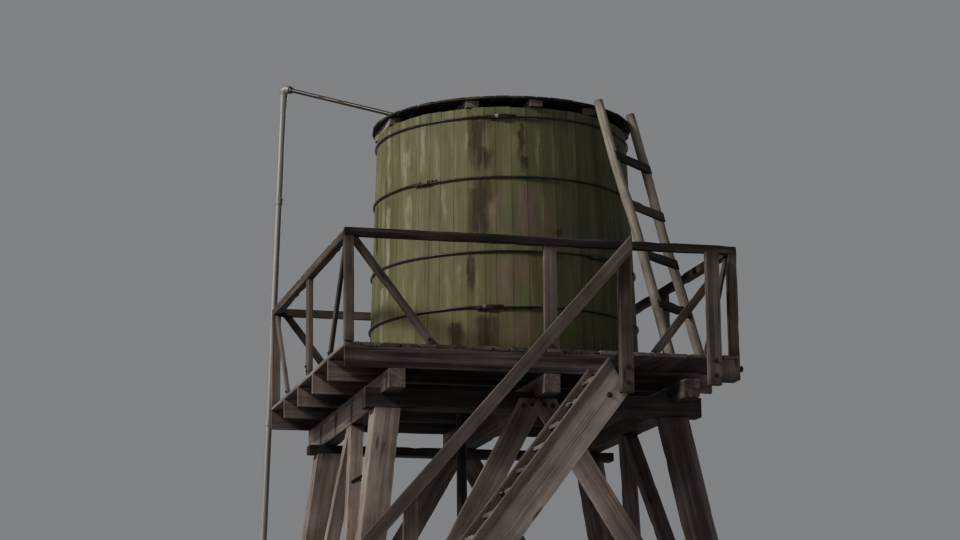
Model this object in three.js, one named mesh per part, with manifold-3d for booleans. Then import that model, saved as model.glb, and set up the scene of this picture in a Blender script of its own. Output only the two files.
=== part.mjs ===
// A round wooden water tank on a battered timber tower, with a railed deck, stair, ladder and fill pipe.
// Units are millimetres, +Z is up and the ground is z = 0. X runs along the front, Y runs to the back.
import * as THREE from "three";
import { mergeVertices } from "three/addons/utils/BufferGeometryUtils.js";
import Module from "manifold-3d";

const wasm = await Module();
wasm.setup();

// Clearance between pieces that touch
const GAP = 0.3;

// Deck
const DECK_Z = 6000;
const DECK_HALF_X = 2150;
const DECK_HALF_Y = 2225;
const PLANK = 45;
const JOIST_DEPTH = 220;
const JOIST_WIDTH = 60;
const JOIST_COUNT = 6;
const FRONT_JOIST_END_X = 740;
const CORNER_BLOCK = 215;

// Girders, which are notched over the front cap and have a shallower nose in front of it, and caps
const GIRDER_DEPTH = 300;
const GIRDER_NOSE_DEPTH = 205;
const GIRDER_NOTCH = 165;
const GIRDER_WIDTH = 180;
const GIRDER_X = 1600;
const MIDDLE_GIRDER_X = 60;
const CAP_HALF_X = 1850;
const CAP_WIDTH = 200;
const FRONT_CAP_DEPTH = 215;
const BACK_CAP_DEPTH = 105;
const CAP_SETBACK = 25;

// Legs, given by their outer faces at the underside of the front cap
const LEG = 280;
const LEG_OUTER_X = { left: 1753, right: 1690 };
const LEG_OUTER_Y = { front: 1840, back: 1510 };
const BATTER_X = { left: 0.13, right: 0.19 };
const BATTER_Y = 0.09;
const LEGS_MIDDLE_Y = (LEG_OUTER_Y.back - LEG_OUTER_Y.front) / 2;

// Sloping braces: planks on the front and back faces of the legs, timbers between the legs at the sides
const BRACE_PLANK = { width: 260, thick: 45, footZ: 1900 };
const BRACE_TIMBER = { width: 150, thick: 150, footZ: 1390 };
const BRACE_APEX_RISE = 80;

// Tank
const TANK_X = 145;
const TANK_R_BOTTOM = 1540;
const TANK_R_TOP = 1440;
const TANK_HEIGHT = 2850;
const STAVE_THICK = 50;
const STAVES = 60;
const WALL_SEGMENTS = 6;
const FLOOR_THICK = 50;
const HOOP_ROD = 22;
const HOOP_HEIGHTS = [2730, 2040, 1200, 580];
const LUG_ANGLES = [-104, -139, -60, -110];
const LUG = { length: 170, depth: 40, height: 44 };
const ROOF_R = 1500;
const ROOF_THICK = 30;
const ROOF_BEAM = { count: 5, width: 150, depth: 80, spacing: 670, overhang: 25 };

// Railing
const RAIL_TOP = 1200;
const RAIL_DEPTH = 90;
const RAIL_WIDTH = 90;
const CORNER_POST = 100;
const MIDDLE_POST = { width: 140, thick: 60 };
const RAIL_BRACE = { width: 90, thick: 40, run: 850 };
const OUTER_POST = { x: 1842, width: 145, thick: 90, foot: -340 };
const OUTER_BRACE = { top: 800, run: 640 };

// Stair
const STAIR_SLOPE = 1.29;
const STAIR_TOP_X = 444;
const STAIR_TOP_Z = -205;
const STAIR_WIDTH = 740;
const STRINGER_THICK = 45;
const STRINGER_DEPTH = 390;
const STRINGER_END_X = 640;
const TREAD = { count: 24, topDrop: 360, depth: 240, thick: 40, inset: 45 };
const NEWEL = { x: 612, width: 140, thick: 90, foot: -580, top: 900 };
const HANDRAIL = { slope: 1.125, topX: 560, topZ: 830, endX: -3300, width: 135, thick: 40 };
const HANDRAIL_POST_X = [-1650, -3200];

// Ladder that leans on the roof's edge
const LADDER = { angle: -48, footRadius: 2290, halfWidth: 350, pole: 60, poleSides: 10, top: 2990 };
const RUNG = { depth: 115, thick: 34, standOff: 40, spacing: 573, first: 600, count: 4, overhang: 45 };

// Pipes
const FILL_PIPE = { radius: 42, footX: -2356, y: 2385, lean: 0.036, top: 10040, sides: 12 };
const ELBOW = { radius: 62, stub: 130, stubRadius: 46 };
const FILL_ARM = { radius: 26, endX: -60, endY: 320, overrun: 200 };
const RISER_PIPE = { radius: 62, x: -360, sides: 16 };

// Bars are made too long by this much at the ground or the deck, and cut off level
const CUT_OFF = 200;

// Materials
function finish(color, roughness, metalness) {
  return { color, roughness, metalness };
}
const WEATHERED_TIMBER = finish(0x7d6a62, 0.9, 0);
const SHADED_TIMBER = finish(0x4a3e3c, 0.92, 0);
const GREEN_STAVES = finish(0x6f7c46, 0.8, 0);
const DARK_IRON = finish(0x2a2422, 0.7, 0.6);
const GREY_PIPE = finish(0x9a9690, 0.6, 0.4);

const tower = new THREE.Group();

function addPiece(name, geometry, look) {
  const mesh = new THREE.Mesh(geometry, new THREE.MeshStandardMaterial(look));
  mesh.name = name;
  tower.add(mesh);
  return mesh;
}

// Solids for cutting and joining
function toSolid(geometry) {
  const bare = geometry.clone();
  bare.deleteAttribute("normal");
  bare.deleteAttribute("uv");
  const merged = mergeVertices(bare, 1e-3);
  return new wasm.Manifold(new wasm.Mesh({
    numProp: 3,
    vertProperties: new Float32Array(merged.attributes.position.array),
    triVerts: new Uint32Array(merged.index.array),
  }));
}

function toGeometry(solid) {
  const mesh = solid.getMesh();
  const geometry = new THREE.BufferGeometry();
  geometry.setAttribute("position", new THREE.BufferAttribute(mesh.vertProperties, 3));
  geometry.setIndex(new THREE.BufferAttribute(mesh.triVerts, 1));
  geometry.computeVertexNormals();
  return geometry;
}

function join(geometries) {
  const solids = geometries.map(toSolid);
  return toGeometry(solids.reduce((whole, part) => whole.add(part)));
}

// A box from its lowest to its highest corner
function block(x0, x1, y0, y1, z0, z1) {
  const geometry = new THREE.BoxGeometry(x1 - x0, y1 - y0, z1 - z0);
  return geometry.translate((x0 + x1) / 2, (y0 + y1) / 2, (z0 + z1) / 2);
}

// A closed outline of [across, up] points, extruded from nearY to farY in the XZ plane
function plateAlongX(points, nearY, farY) {
  const outline = new THREE.Shape(points.map(([x, z]) => new THREE.Vector2(x, z)));
  const geometry = new THREE.ExtrudeGeometry(outline, { depth: farY - nearY, bevelEnabled: false });
  return geometry.rotateX(Math.PI / 2).translate(0, farY, 0);
}

// The same in the YZ plane, extruded from nearX to farX
function plateAlongY(points, nearX, farX) {
  const outline = new THREE.Shape(points.map(([y, z]) => new THREE.Vector2(y, z)));
  const geometry = new THREE.ExtrudeGeometry(outline, { depth: farX - nearX, bevelEnabled: false });
  return geometry.rotateX(Math.PI / 2).rotateZ(Math.PI / 2).translate(nearX, 0, 0);
}

// A sloping plank's outline between two points, with both ends cut level
function slopingOutline([u0, v0], [u1, v1], width) {
  const lean = (u1 - u0) / (v1 - v0);
  const half = (width / 2) * Math.hypot(1, lean);
  return [[u0 - half, v0], [u0 + half, v0], [u1 + half, v1], [u1 - half, v1]];
}

// A round bar between two points
function bar(from, to, radius, sides) {
  const along = new THREE.Vector3().subVectors(to, from);
  const geometry = new THREE.CylinderGeometry(radius, radius, along.length(), sides);
  const upright = new THREE.Vector3(0, 1, 0);
  const turn = new THREE.Quaternion().setFromUnitVectors(upright, along.clone().normalize());
  const middle = from.clone().addScaledVector(along, 0.5);
  return geometry.applyQuaternion(turn).translate(...middle.toArray());
}

// Heights of the frame's layers
const DECK_UNDERSIDE = DECK_Z - PLANK;
const JOIST_BOTTOM = DECK_UNDERSIDE - JOIST_DEPTH;
const GIRDER_BOTTOM = JOIST_BOTTOM - GIRDER_DEPTH;
const GIRDER_NOSE_BOTTOM = JOIST_BOTTOM - GIRDER_NOSE_DEPTH;
const FRONT_CAP_TOP = GIRDER_BOTTOM + GIRDER_NOTCH;
const FRONT_CAP_BOTTOM = FRONT_CAP_TOP - FRONT_CAP_DEPTH;
const BACK_CAP_BOTTOM = GIRDER_BOTTOM - BACK_CAP_DEPTH;

// Front faces of the caps
const FRONT_CAP_Y = CAP_SETBACK - LEG_OUTER_Y.front;
const BACK_CAP_Y = LEG_OUTER_Y.back - CAP_SETBACK - CAP_WIDTH;

function makeDeck() {
  const deck = block(-DECK_HALF_X, DECK_HALF_X, -DECK_HALF_Y, DECK_HALF_Y, DECK_UNDERSIDE, DECK_Z);
  addPiece("deck", deck, WEATHERED_TIMBER);
}

function makeJoists() {
  const top = DECK_UNDERSIDE - GAP;
  const bottom = JOIST_BOTTOM;
  const reach = DECK_HALF_Y - JOIST_WIDTH / 2;
  const spacing = (2 * reach) / (JOIST_COUNT - 1);
  for (let i = 0; i < JOIST_COUNT; i += 1) {
    const y = -reach + i * spacing;
    const endX = i === 0 ? FRONT_JOIST_END_X : DECK_HALF_X;
    const joist = block(-DECK_HALF_X, endX, y - JOIST_WIDTH / 2, y + JOIST_WIDTH / 2, bottom, top);
    addPiece(`joist_${i + 1}`, joist, WEATHERED_TIMBER);
  }
  const blockX = DECK_HALF_X - CORNER_BLOCK;
  const corner = block(blockX, DECK_HALF_X, -DECK_HALF_Y, CORNER_BLOCK - DECK_HALF_Y, bottom, top);
  addPiece("deck_corner_block", corner, WEATHERED_TIMBER);
}

function makeGirders() {
  const notchFront = FRONT_CAP_Y - GAP;
  const notchBack = FRONT_CAP_Y + CAP_WIDTH + GAP;
  const outline = [
    [-DECK_HALF_Y, GIRDER_NOSE_BOTTOM],
    [notchFront, GIRDER_NOSE_BOTTOM],
    [notchFront, FRONT_CAP_TOP + GAP],
    [notchBack, FRONT_CAP_TOP + GAP],
    [notchBack, GIRDER_BOTTOM],
    [DECK_HALF_Y, GIRDER_BOTTOM],
    [DECK_HALF_Y, JOIST_BOTTOM - GAP],
    [-DECK_HALF_Y, JOIST_BOTTOM - GAP],
  ];
  const half = GIRDER_WIDTH / 2;
  const places = { left: -GIRDER_X, middle: MIDDLE_GIRDER_X, right: GIRDER_X };
  for (const [side, x] of Object.entries(places)) {
    addPiece(`girder_${side}`, plateAlongY(outline, x - half, x + half), SHADED_TIMBER);
  }
}

function makeCap(name, frontY, bottom, top) {
  const cap = block(-CAP_HALF_X, CAP_HALF_X, frontY, frontY + CAP_WIDTH, bottom, top);
  addPiece(name, cap, SHADED_TIMBER);
}

// How far a leg's middle line is from the tower's middle at a height, along X
function legReach(side, z) {
  return LEG_OUTER_X[side] - LEG / 2 + BATTER_X[side] * (FRONT_CAP_BOTTOM - z);
}

// Legs lean outward both ways and are cut level at the ground and under the cap
function makeLegs() {
  for (const face of ["front", "back"]) {
    const signY = face === "front" ? -1 : 1;
    const top = (face === "front" ? FRONT_CAP_BOTTOM : BACK_CAP_BOTTOM) - GAP;
    for (const side of ["left", "right"]) {
      const signX = side === "left" ? -1 : 1;
      const leg = new THREE.BoxGeometry(LEG, LEG, top).translate(0, 0, top / 2);
      const lean = new THREE.Matrix4().set(
        1, 0, -signX * BATTER_X[side], signX * legReach(side, 0),
        0, 1, -signY * BATTER_Y, signY * (LEG_OUTER_Y[face] - LEG / 2 + BATTER_Y * FRONT_CAP_BOTTOM),
        0, 0, 1, 0,
        0, 0, 0, 1,
      );
      addPiece(`leg_${face}_${side}`, leg.applyMatrix4(lean), WEATHERED_TIMBER);
    }
  }
}

// Each side of the tower has two braces that part like an inverted V from its middle.
// An outline is drawn flat, as [across, down] from the point where their middle lines meet.
// The inner edge is cut at the middle, the head is cut level and the foot is a [near, far] pair of ends.
function braceOutline(lean, half, head, [innerEnd, outerEnd]) {
  return [
    [GAP, head],
    [lean * head + half, head],
    [lean * outerEnd + half, outerEnd],
    [lean * innerEnd - half, innerEnd],
    [GAP, (half + GAP) / lean],
  ];
}

// The heads stand under the girders, and in front under their noses
function headHeight(face) {
  return face === "front" ? GIRDER_NOSE_BOTTOM : GIRDER_BOTTOM;
}

// Lays one brace in its side's sloping plane, which leans out by batter, and turns it to its side
function addBrace(name, outlineOf, sign, thick, batter, planeY, apexZ, turn, shiftY) {
  const points = outlineOf.map(([across, down]) => [sign * across, -down]);
  const brace = plateAlongX(points, -thick, 0);
  brace.rotateX(-Math.atan(batter)).translate(0, planeY, apexZ);
  brace.rotateZ(THREE.MathUtils.degToRad(turn)).translate(0, shiftY, 0);
  addPiece(name, brace, WEATHERED_TIMBER);
}

// The front and back planks cross the caps and the legs on their outer faces
function makeFaceBraces() {
  const stretch = Math.hypot(1, BATTER_Y);
  const tilt = BATTER_Y * BRACE_PLANK.thick;
  const head = (BRACE_APEX_RISE + tilt + GAP) * stretch;
  for (const [face, turn] of [["front", 0], ["back", 180]]) {
    const apexZ = headHeight(face) + BRACE_APEX_RISE;
    const length = (apexZ - BRACE_PLANK.footZ) * stretch;
    const planeY = -LEG_OUTER_Y[face] + BATTER_Y * (apexZ - FRONT_CAP_BOTTOM) - GAP;
    for (const [hand, sign] of [["left", -1], ["right", 1]]) {
      const side = (sign < 0) === (face === "front") ? "left" : "right";
      const lean = legReach(side, BRACE_PLANK.footZ) / length;
      const half = (BRACE_PLANK.width / 2) * Math.hypot(1, lean);
      const outline = braceOutline(lean, half, head, [length, length]);
      const name = `brace_${face}_${hand}`;
      addBrace(name, outline, sign, BRACE_PLANK.thick, BATTER_Y, planeY, apexZ, turn, 0);
    }
  }
}

// The side timbers stand under the girders and butt against the inner faces of the legs
function makeSideBraces() {
  for (const [side, turn] of [["right", 90], ["left", 270]]) {
    const batter = BATTER_X[side];
    const stretch = Math.hypot(1, batter);
    const apexZ = headHeight(side) + BRACE_APEX_RISE;
    const length = (apexZ - BRACE_TIMBER.footZ) * stretch;
    const tilt = batter * BRACE_TIMBER.thick;
    const inner = LEG_OUTER_Y.front + LEGS_MIDDLE_Y - LEG - GAP - BATTER_Y * tilt;
    const lean = (inner + BATTER_Y * (FRONT_CAP_BOTTOM - BRACE_TIMBER.footZ)) / length;
    const half = (BRACE_TIMBER.width / 2) * Math.hypot(1, lean);
    const head = (BRACE_APEX_RISE + tilt + GAP) * stretch;
    const faceAtApex = inner - BATTER_Y * (apexZ - FRONT_CAP_BOTTOM);
    const parting = lean - BATTER_Y / stretch;
    const ends = [(faceAtApex + half) / parting, (faceAtApex - half) / parting];
    const outline = braceOutline(lean, half, head, ends);
    const planeY = BRACE_TIMBER.thick / 2 - legReach(side, apexZ);
    for (const [hand, sign] of [["left", -1], ["right", 1]]) {
      const name = `brace_${side}_${hand}`;
      addBrace(name, outline, sign, BRACE_TIMBER.thick, batter, planeY, apexZ, turn, LEGS_MIDDLE_Y);
    }
  }
}

function tankRadius(height) {
  return TANK_R_BOTTOM + ((TANK_R_TOP - TANK_R_BOTTOM) * height) / TANK_HEIGHT;
}

// A closed ring or disc turned from [radius, height] points, with flats that match the staves
function turned(points) {
  const closed = points[0][0] > 0 ? [...points, points[0]] : points;
  const profile = closed.map(([radius, height]) => new THREE.Vector2(radius, height));
  const geometry = new THREE.LatheGeometry(profile, STAVES);
  return geometry.rotateX(Math.PI / 2);
}

function placeOnDeck(geometry) {
  return geometry.translate(TANK_X, 0, DECK_Z + GAP);
}

function makeTankWall() {
  const ring = toSolid(turned([
    [TANK_R_BOTTOM - STAVE_THICK, 0],
    [TANK_R_BOTTOM, 0],
    [TANK_R_TOP, TANK_HEIGHT],
    [TANK_R_TOP - STAVE_THICK, TANK_HEIGHT],
  ]));
  const slice = (2 * Math.PI) / WALL_SEGMENTS;
  const reach = 2 * TANK_R_BOTTOM;
  for (let i = 0; i < WALL_SEGMENTS; i += 1) {
    const wedge = new THREE.Shape([0, 0.5, 1].map((part) => {
      const angle = (i + part) * slice;
      return new THREE.Vector2(reach * Math.cos(angle), reach * Math.sin(angle));
    }).concat(new THREE.Vector2(0, 0)));
    const cutter = new THREE.ExtrudeGeometry(wedge, { depth: 2 * TANK_HEIGHT, bevelEnabled: false });
    const middle = (i + 0.5) * slice;
    cutter.translate(GAP * Math.cos(middle), GAP * Math.sin(middle), -TANK_HEIGHT / 2);
    const segment = toGeometry(ring.intersect(toSolid(cutter)));
    addPiece(`tank_wall_${i + 1}`, placeOnDeck(segment), GREEN_STAVES);
  }
}

function makeTankFloor() {
  const lower = TANK_R_BOTTOM - STAVE_THICK - 3 * GAP;
  const upper = tankRadius(FLOOR_THICK) - STAVE_THICK - 3 * GAP;
  const disc = turned([[0, 0], [lower, 0], [upper, FLOOR_THICK], [0, FLOOR_THICK]]);
  addPiece("tank_floor", placeOnDeck(disc), GREEN_STAVES);
}

// Round rods drawn tight round the wall, each closed by a lug
function makeHoops() {
  HOOP_HEIGHTS.forEach((height, i) => {
    const centre = tankRadius(height) + HOOP_ROD / 2 + 2 * GAP;
    const section = [0, 1, 2, 3, 4, 5].map((corner) => {
      const angle = (corner * Math.PI) / 3;
      return [centre + (HOOP_ROD / 2) * Math.cos(angle), height + (HOOP_ROD / 2) * Math.sin(angle)];
    });
    const angle = THREE.MathUtils.degToRad(LUG_ANGLES[i]);
    const lug = new THREE.BoxGeometry(LUG.depth, LUG.length, LUG.height);
    lug.translate(centre + LUG.depth / 2 - HOOP_ROD / 4, 0, height).rotateZ(angle);
    addPiece(`hoop_${i + 1}`, placeOnDeck(join([turned(section), lug])), DARK_IRON);
  });
}

function makeRoof() {
  const beamBottom = TANK_HEIGHT + GAP;
  const beamTop = beamBottom + ROOF_BEAM.depth;
  const reach = ROOF_R - ROOF_BEAM.overhang;
  for (let i = 0; i < ROOF_BEAM.count; i += 1) {
    const x = (i - (ROOF_BEAM.count - 1) / 2) * ROOF_BEAM.spacing;
    const half = Math.sqrt(reach ** 2 - (Math.abs(x) + ROOF_BEAM.width / 2) ** 2);
    const beam = block(x - ROOF_BEAM.width / 2, x + ROOF_BEAM.width / 2, -half, half, beamBottom, beamTop);
    addPiece(`roof_beam_${i + 1}`, placeOnDeck(beam), SHADED_TIMBER);
  }
  const low = beamTop + GAP;
  const high = low + ROOF_THICK;
  const roof = turned([[0, low], [ROOF_R, low], [ROOF_R, high], [0, high]]);
  addPiece("roof", placeOnDeck(roof), SHADED_TIMBER);
}

// Railing frames: a top rail, its posts and the braces that run down from its ends.
// Each is drawn along one side, from low to high, with heights above the deck.
function railingOutlines(low, high, middle, brace) {
  const railLow = RAIL_TOP - RAIL_DEPTH;
  const outlines = [
    { points: [[low, railLow], [high, railLow], [high, RAIL_TOP], [low, RAIL_TOP]], thick: RAIL_WIDTH },
    {
      points: slopingOutline([middle, 0], [middle, railLow + 1], MIDDLE_POST.width),
      thick: MIDDLE_POST.thick,
    },
  ];
  for (const [end, sign] of [[low, 1], [high, -1]]) {
    if (!brace.includes(sign)) continue;
    const foot = [end + sign * (RAIL_BRACE.run + RAIL_BRACE.width), 0];
    const head = [end + sign * RAIL_BRACE.width, railLow + 1];
    outlines.push({ points: slopingOutline(foot, head, RAIL_BRACE.width), thick: RAIL_BRACE.thick });
  }
  return outlines;
}

function cornerPost(x, y) {
  const half = CORNER_POST / 2;
  return block(x - half, x + half, y - half, y + half, 0, RAIL_TOP - RAIL_DEPTH + 1);
}

function makeRailing() {
  const cornerX = DECK_HALF_X - CORNER_POST / 2;
  const cornerY = DECK_HALF_Y - CORNER_POST / 2;
  const innerX = DECK_HALF_X - CORNER_POST - GAP;
  const innerY = DECK_HALF_Y - CORNER_POST - GAP;
  const frames = [
    {
      name: "railing_front",
      parts: railingOutlines(-DECK_HALF_X, DECK_HALF_X, MIDDLE_GIRDER_X, [1])
        .map(({ points, thick }) => plateAlongX(points, -cornerY - thick / 2, -cornerY + thick / 2)),
      posts: [[-cornerX, -cornerY], [cornerX, -cornerY]],
    },
    {
      name: "railing_back",
      parts: railingOutlines(-innerX, innerX, 0, [1, -1])
        .map(({ points, thick }) => plateAlongX(points, cornerY - thick / 2, cornerY + thick / 2)),
      posts: [],
    },
    {
      name: "railing_left",
      parts: railingOutlines(-innerY, DECK_HALF_Y, 0, [1, -1])
        .map(({ points, thick }) => plateAlongY(points, -cornerX - thick / 2, -cornerX + thick / 2)),
      posts: [[-cornerX, cornerY]],
    },
    {
      name: "railing_right",
      parts: railingOutlines(-innerY, DECK_HALF_Y, 0, [1, -1])
        .map(({ points, thick }) => plateAlongY(points, cornerX - thick / 2, cornerX + thick / 2)),
      posts: [[cornerX, cornerY]],
    },
  ];
  for (const { name, parts, posts } of frames) {
    const frame = join([...parts, ...posts.map(([x, y]) => cornerPost(x, y))]);
    addPiece(name, frame.translate(0, 0, DECK_Z + GAP), WEATHERED_TIMBER);
  }
}

// The outer post is bolted to the front of the corner block, and its brace stands on the deck behind it
function makeOuterPost() {
  const face = -DECK_HALF_Y - GAP;
  const half = OUTER_POST.width / 2;
  const top = RAIL_TOP - RAIL_DEPTH;
  const post = block(
    OUTER_POST.x - half, OUTER_POST.x + half, face - OUTER_POST.thick, face, OUTER_POST.foot, top,
  );
  addPiece("railing_outer_post", post.translate(0, 0, DECK_Z), WEATHERED_TIMBER);
  const head = [OUTER_POST.x, OUTER_BRACE.top];
  const foot = [OUTER_POST.x - OUTER_BRACE.run, 0];
  const brace = plateAlongX(
    slopingOutline(foot, head, RAIL_BRACE.width), -DECK_HALF_Y, -DECK_HALF_Y + RAIL_BRACE.thick,
  );
  addPiece("railing_outer_brace", brace.translate(0, 0, DECK_Z + GAP), WEATHERED_TIMBER);
}

// The stair stands in front of the deck and comes down to the left
const STAIR_BACK_Y = -DECK_HALF_Y - GAP;
const STAIR_FRONT_Y = STAIR_BACK_Y - STAIR_WIDTH;
const STRINGER_DROP = STRINGER_DEPTH * Math.hypot(1, STAIR_SLOPE);

function stringerTop(x) {
  return DECK_Z + STAIR_TOP_Z + (x - STAIR_TOP_X) * STAIR_SLOPE;
}

function makeStair() {
  const footX = STAIR_TOP_X - stringerTop(STAIR_TOP_X) / STAIR_SLOPE;
  const outline = [
    [footX, 0],
    [footX + STRINGER_DROP / STAIR_SLOPE, 0],
    [STRINGER_END_X, stringerTop(STRINGER_END_X) - STRINGER_DROP],
    [STAIR_TOP_X, stringerTop(STAIR_TOP_X)],
  ];
  const parts = [
    plateAlongX(outline, STAIR_FRONT_Y, STAIR_FRONT_Y + STRINGER_THICK),
    plateAlongX(outline, STAIR_BACK_Y - STRINGER_THICK, STAIR_BACK_Y),
  ];
  const rise = (DECK_Z - TREAD.topDrop) / TREAD.count;
  for (let i = 1; i <= TREAD.count; i += 1) {
    const top = i * rise;
    const noseX = STAIR_TOP_X - (stringerTop(STAIR_TOP_X) - top - TREAD.inset) / STAIR_SLOPE;
    parts.push(block(
      noseX, noseX + TREAD.depth, STAIR_FRONT_Y + STRINGER_THICK - 1, STAIR_BACK_Y - STRINGER_THICK + 1,
      top - TREAD.thick, top,
    ));
  }
  addPiece("stair", join(parts), WEATHERED_TIMBER);
}

function handrailMiddle(x) {
  return DECK_Z + HANDRAIL.topZ + (x - HANDRAIL.topX) * HANDRAIL.slope;
}

function makeHandrail() {
  const postBack = STAIR_FRONT_Y - GAP;
  const postFront = postBack - NEWEL.thick;
  const half = NEWEL.width / 2;
  const newel = block(NEWEL.x - half, NEWEL.x + half, postFront, postBack, NEWEL.foot, NEWEL.top);
  addPiece("stair_newel", newel.translate(0, 0, DECK_Z), WEATHERED_TIMBER);
  HANDRAIL_POST_X.forEach((x, i) => {
    const foot = Math.max(stringerTop(x) - STRINGER_DROP, 0);
    const post = block(x - half, x + half, postFront, postBack, foot, handrailMiddle(x));
    addPiece(`handrail_post_${i + 1}`, post, WEATHERED_TIMBER);
  });
  const drop = (HANDRAIL.width / 2) * Math.hypot(1, HANDRAIL.slope);
  const headX = NEWEL.x + half;
  const outline = [
    [HANDRAIL.endX, handrailMiddle(HANDRAIL.endX) - drop],
    [headX, handrailMiddle(headX) - drop],
    [headX, handrailMiddle(headX) + drop],
    [HANDRAIL.endX, handrailMiddle(HANDRAIL.endX) + drop],
  ];
  const railBack = postFront - GAP;
  addPiece("stair_handrail", plateAlongX(outline, railBack - HANDRAIL.thick, railBack), WEATHERED_TIMBER);
}

// What is left of a form above z = 0
function cutLevel(geometry) {
  const reach = 2 * DECK_Z;
  const below = toSolid(block(-reach, reach, -reach, reach, -2 * CUT_OFF, 0));
  return toGeometry(toSolid(geometry).subtract(below));
}

// The ladder is drawn in a plane through the tank's axis: outward is +X, its width is along Y
function makeLadder() {
  const roofTop = TANK_HEIGHT + ROOF_BEAM.depth + ROOF_THICK + 3 * GAP;
  const rimOut = Math.sqrt(ROOF_R ** 2 - LADDER.halfWidth ** 2) + 4 * GAP;
  const leanRun = LADDER.footRadius - rimOut;
  const slant = Math.hypot(leanRun, roofTop);
  const offset = (LADDER.pole * slant) / roofTop;
  const axisAt = (height) => rimOut + offset + leanRun * (1 - height / roofTop);
  const parts = [-1, 1].map((side) => {
    const y = side * LADDER.halfWidth;
    const from = new THREE.Vector3(axisAt(-CUT_OFF), y, -CUT_OFF);
    const to = new THREE.Vector3(axisAt(LADDER.top), y, LADDER.top);
    return bar(from, to, LADDER.pole, LADDER.poleSides);
  });
  const tilt = Math.atan2(leanRun, roofTop);
  const span = LADDER.halfWidth + RUNG.overhang;
  for (let i = 0; i < RUNG.count; i += 1) {
    const height = RUNG.first + i * RUNG.spacing;
    const rung = new THREE.BoxGeometry(RUNG.thick, 2 * span, RUNG.depth);
    rung.rotateY(-tilt).translate(axisAt(height) + RUNG.standOff, 0, height);
    parts.push(rung);
  }
  const ladder = cutLevel(join(parts));
  ladder.rotateZ(THREE.MathUtils.degToRad(LADDER.angle));
  addPiece("ladder", placeOnDeck(ladder), WEATHERED_TIMBER);
}

function makePipes() {
  const { radius, footX, y, lean, top, sides } = FILL_PIPE;
  const head = new THREE.Vector3(footX + lean * top, y, top);
  const below = new THREE.Vector3(footX - lean * CUT_OFF, y, -CUT_OFF);
  const roofTop = DECK_Z + TANK_HEIGHT + ROOF_BEAM.depth + ROOF_THICK + 4 * GAP;
  const armEnd = new THREE.Vector3(TANK_X + FILL_ARM.endX, FILL_ARM.endY, roofTop);
  const along = new THREE.Vector3().subVectors(armEnd, head).normalize();
  const stubEnd = head.clone().addScaledVector(along, ELBOW.stub);
  const ball = new THREE.SphereGeometry(ELBOW.radius, sides, 8).translate(...head.toArray());
  const pipe = join([bar(below, head, radius, sides), ball, bar(head, stubEnd, ELBOW.stubRadius, sides)]);
  addPiece("fill_pipe", cutLevel(pipe), GREY_PIPE);

  const armStart = stubEnd.clone().addScaledVector(along, GAP);
  const armTip = armEnd.clone().addScaledVector(along, FILL_ARM.overrun);
  const arm = bar(armStart, armTip, FILL_ARM.radius, sides);
  const reach = 2 * DECK_Z;
  const underRoof = toSolid(block(-reach, reach, -reach, reach, 0, roofTop));
  addPiece("fill_arm", toGeometry(toSolid(arm).subtract(underRoof)), DARK_IRON);

  const height = DECK_UNDERSIDE - GAP;
  const riser = new THREE.CylinderGeometry(RISER_PIPE.radius, RISER_PIPE.radius, height, RISER_PIPE.sides);
  addPiece("riser_pipe", riser.rotateX(Math.PI / 2).translate(RISER_PIPE.x, 0, height / 2), DARK_IRON);
}

makeLegs();
makeCap("cap_front", FRONT_CAP_Y, FRONT_CAP_BOTTOM, FRONT_CAP_TOP);
makeCap("cap_back", BACK_CAP_Y, BACK_CAP_BOTTOM, GIRDER_BOTTOM - GAP);
makeGirders();
makeFaceBraces();
makeSideBraces();
makeJoists();
makeDeck();
makeTankWall();
makeTankFloor();
makeHoops();
makeRoof();
makeRailing();
makeOuterPost();
makeStair();
makeHandrail();
makeLadder();
makePipes();

// The origin is on the ground under the middle of the whole object
const reach = new THREE.Box3().setFromObject(tower);
const middle = reach.getCenter(new THREE.Vector3());
tower.position.set(-middle.x, -middle.y, 0);

const model = new THREE.Group();
model.add(tower);
export default model;
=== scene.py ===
"""Weathered timber, painted staves, iron hoops and pipes for a wooden water tower."""

import math
import random

import bmesh
import bpy
from mathutils import Matrix, Vector, noise
from mathutils.bvhtree import BVHTree


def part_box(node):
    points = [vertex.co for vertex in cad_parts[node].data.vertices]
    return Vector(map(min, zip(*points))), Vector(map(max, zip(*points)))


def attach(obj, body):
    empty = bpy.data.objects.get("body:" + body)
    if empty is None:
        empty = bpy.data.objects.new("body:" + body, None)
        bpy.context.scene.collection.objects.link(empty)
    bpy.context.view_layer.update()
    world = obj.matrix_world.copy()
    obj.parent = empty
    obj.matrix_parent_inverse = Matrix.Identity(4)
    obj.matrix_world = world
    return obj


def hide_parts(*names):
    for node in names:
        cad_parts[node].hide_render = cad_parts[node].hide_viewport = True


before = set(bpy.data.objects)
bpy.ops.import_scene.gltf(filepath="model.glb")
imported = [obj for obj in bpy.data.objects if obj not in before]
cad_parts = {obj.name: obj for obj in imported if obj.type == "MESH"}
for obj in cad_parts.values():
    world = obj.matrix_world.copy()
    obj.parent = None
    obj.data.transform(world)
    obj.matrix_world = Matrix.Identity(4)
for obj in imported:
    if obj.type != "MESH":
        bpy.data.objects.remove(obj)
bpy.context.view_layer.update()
dice = random.Random(41)
UP = Vector((0, 0, 1))


def middle_of(node):
    low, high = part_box(node)
    return (low + high) / 2


def new_object(name, data):
    made = bpy.data.objects.new(name, data)
    bpy.context.scene.collection.objects.link(made)
    return made


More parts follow.
